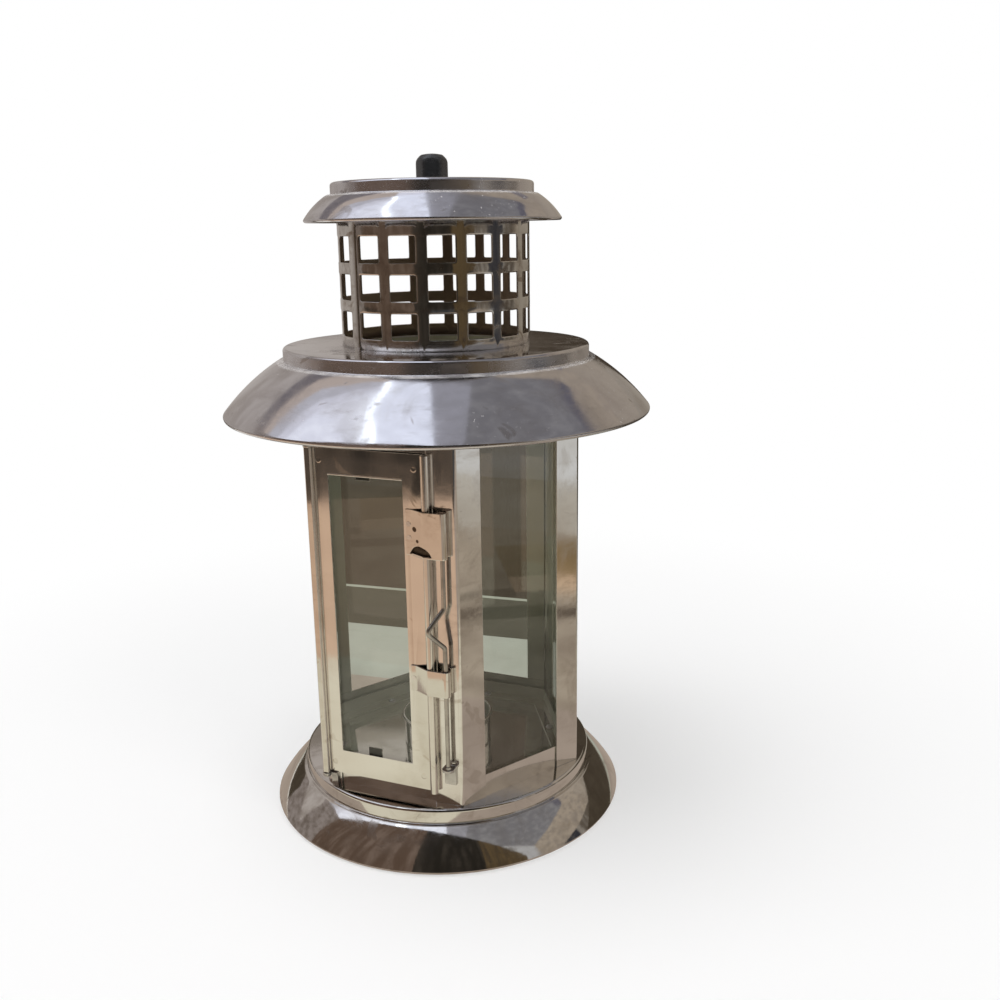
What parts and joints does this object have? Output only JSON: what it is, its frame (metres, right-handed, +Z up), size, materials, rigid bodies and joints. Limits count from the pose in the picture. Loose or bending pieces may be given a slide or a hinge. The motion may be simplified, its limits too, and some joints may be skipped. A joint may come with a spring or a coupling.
{
  "type": "candle lantern",
  "caption": "Six-sided glazed candle lantern in polished sheet steel, with a flared round roof, punched vent chimney, capped top, hinged glass door with a wire bolt, and round flared base.",
  "frame": {"origin": "centre of the foot, on the surface that the lantern stands on", "axes": "+Z up along the lantern's axis; the door faces -Y, with its hinge on the -X side and its latch on the +X side"},
  "size_m": [0.2, 0.2, 0.3117],
  "materials": {
    "roof_steel": "mirror polished spun stainless sheet with fine scuffs",
    "chimney_steel": "polished stainless sheet, punched and rolled",
    "frame_steel": "mirror polished stainless sheet with smudges",
    "door_steel": "mirror polished stainless sheet with smudges",
    "hardware_steel": "plain drawn steel",
    "wire_steel": "drawn steel wire",
    "clear_glass": "clear float glass with a faint green tint",
    "black_plastic": "moulded gloss black"
  },
  "bodies": {
    "lantern": {"base_pan": "frame_steel", "candle_cup": "frame_steel", "cup_rivet": "hardware_steel", "sill_ring": "frame_steel", "sill_rivets": "hardware_steel", "post_1": "frame_steel", "post_2": "frame_steel", "post_3": "frame_steel", "post_4": "frame_steel", "post_5": "frame_steel", "post_6": "frame_steel", "pane_1": "clear_glass", "pane_2": "clear_glass", "pane_3": "clear_glass", "pane_4": "clear_glass", "pane_5": "clear_glass", "header_ring": "frame_steel", "hinge_bracket_top": "hardware_steel", "hinge_bracket_bottom": "hardware_steel", "hinge_pin": "hardware_steel", "bolt_keeper": "hardware_steel", "roof_shell": "roof_steel", "vent_chimney": "chimney_steel", "upper_cap": "roof_steel", "knob_washer": "hardware_steel", "knob_screw": "hardware_steel", "cap_knob": "black_plastic"},
    "door": {"door_frame": "door_steel", "door_pane": "clear_glass", "door_clips": "hardware_steel", "latch_plate": "door_steel", "bolt_guide": "door_steel", "latch_rivets": "hardware_steel"},
    "bolt": {"latch_bolt": "wire_steel"}
  },
  "joints": [
    {"name": "door_swing", "type": "hinge", "parent": "lantern", "child": "door", "pos_m": [-0.0341, -0.06308, 0.1085], "axis": [0, 0, -1], "range_deg": [0, 180]},
    {"name": "bolt_slide", "type": "slide", "parent": "door", "child": "bolt", "axis": [0, 0, 1], "range_m": [-0.009, 0.018]}
  ]
}
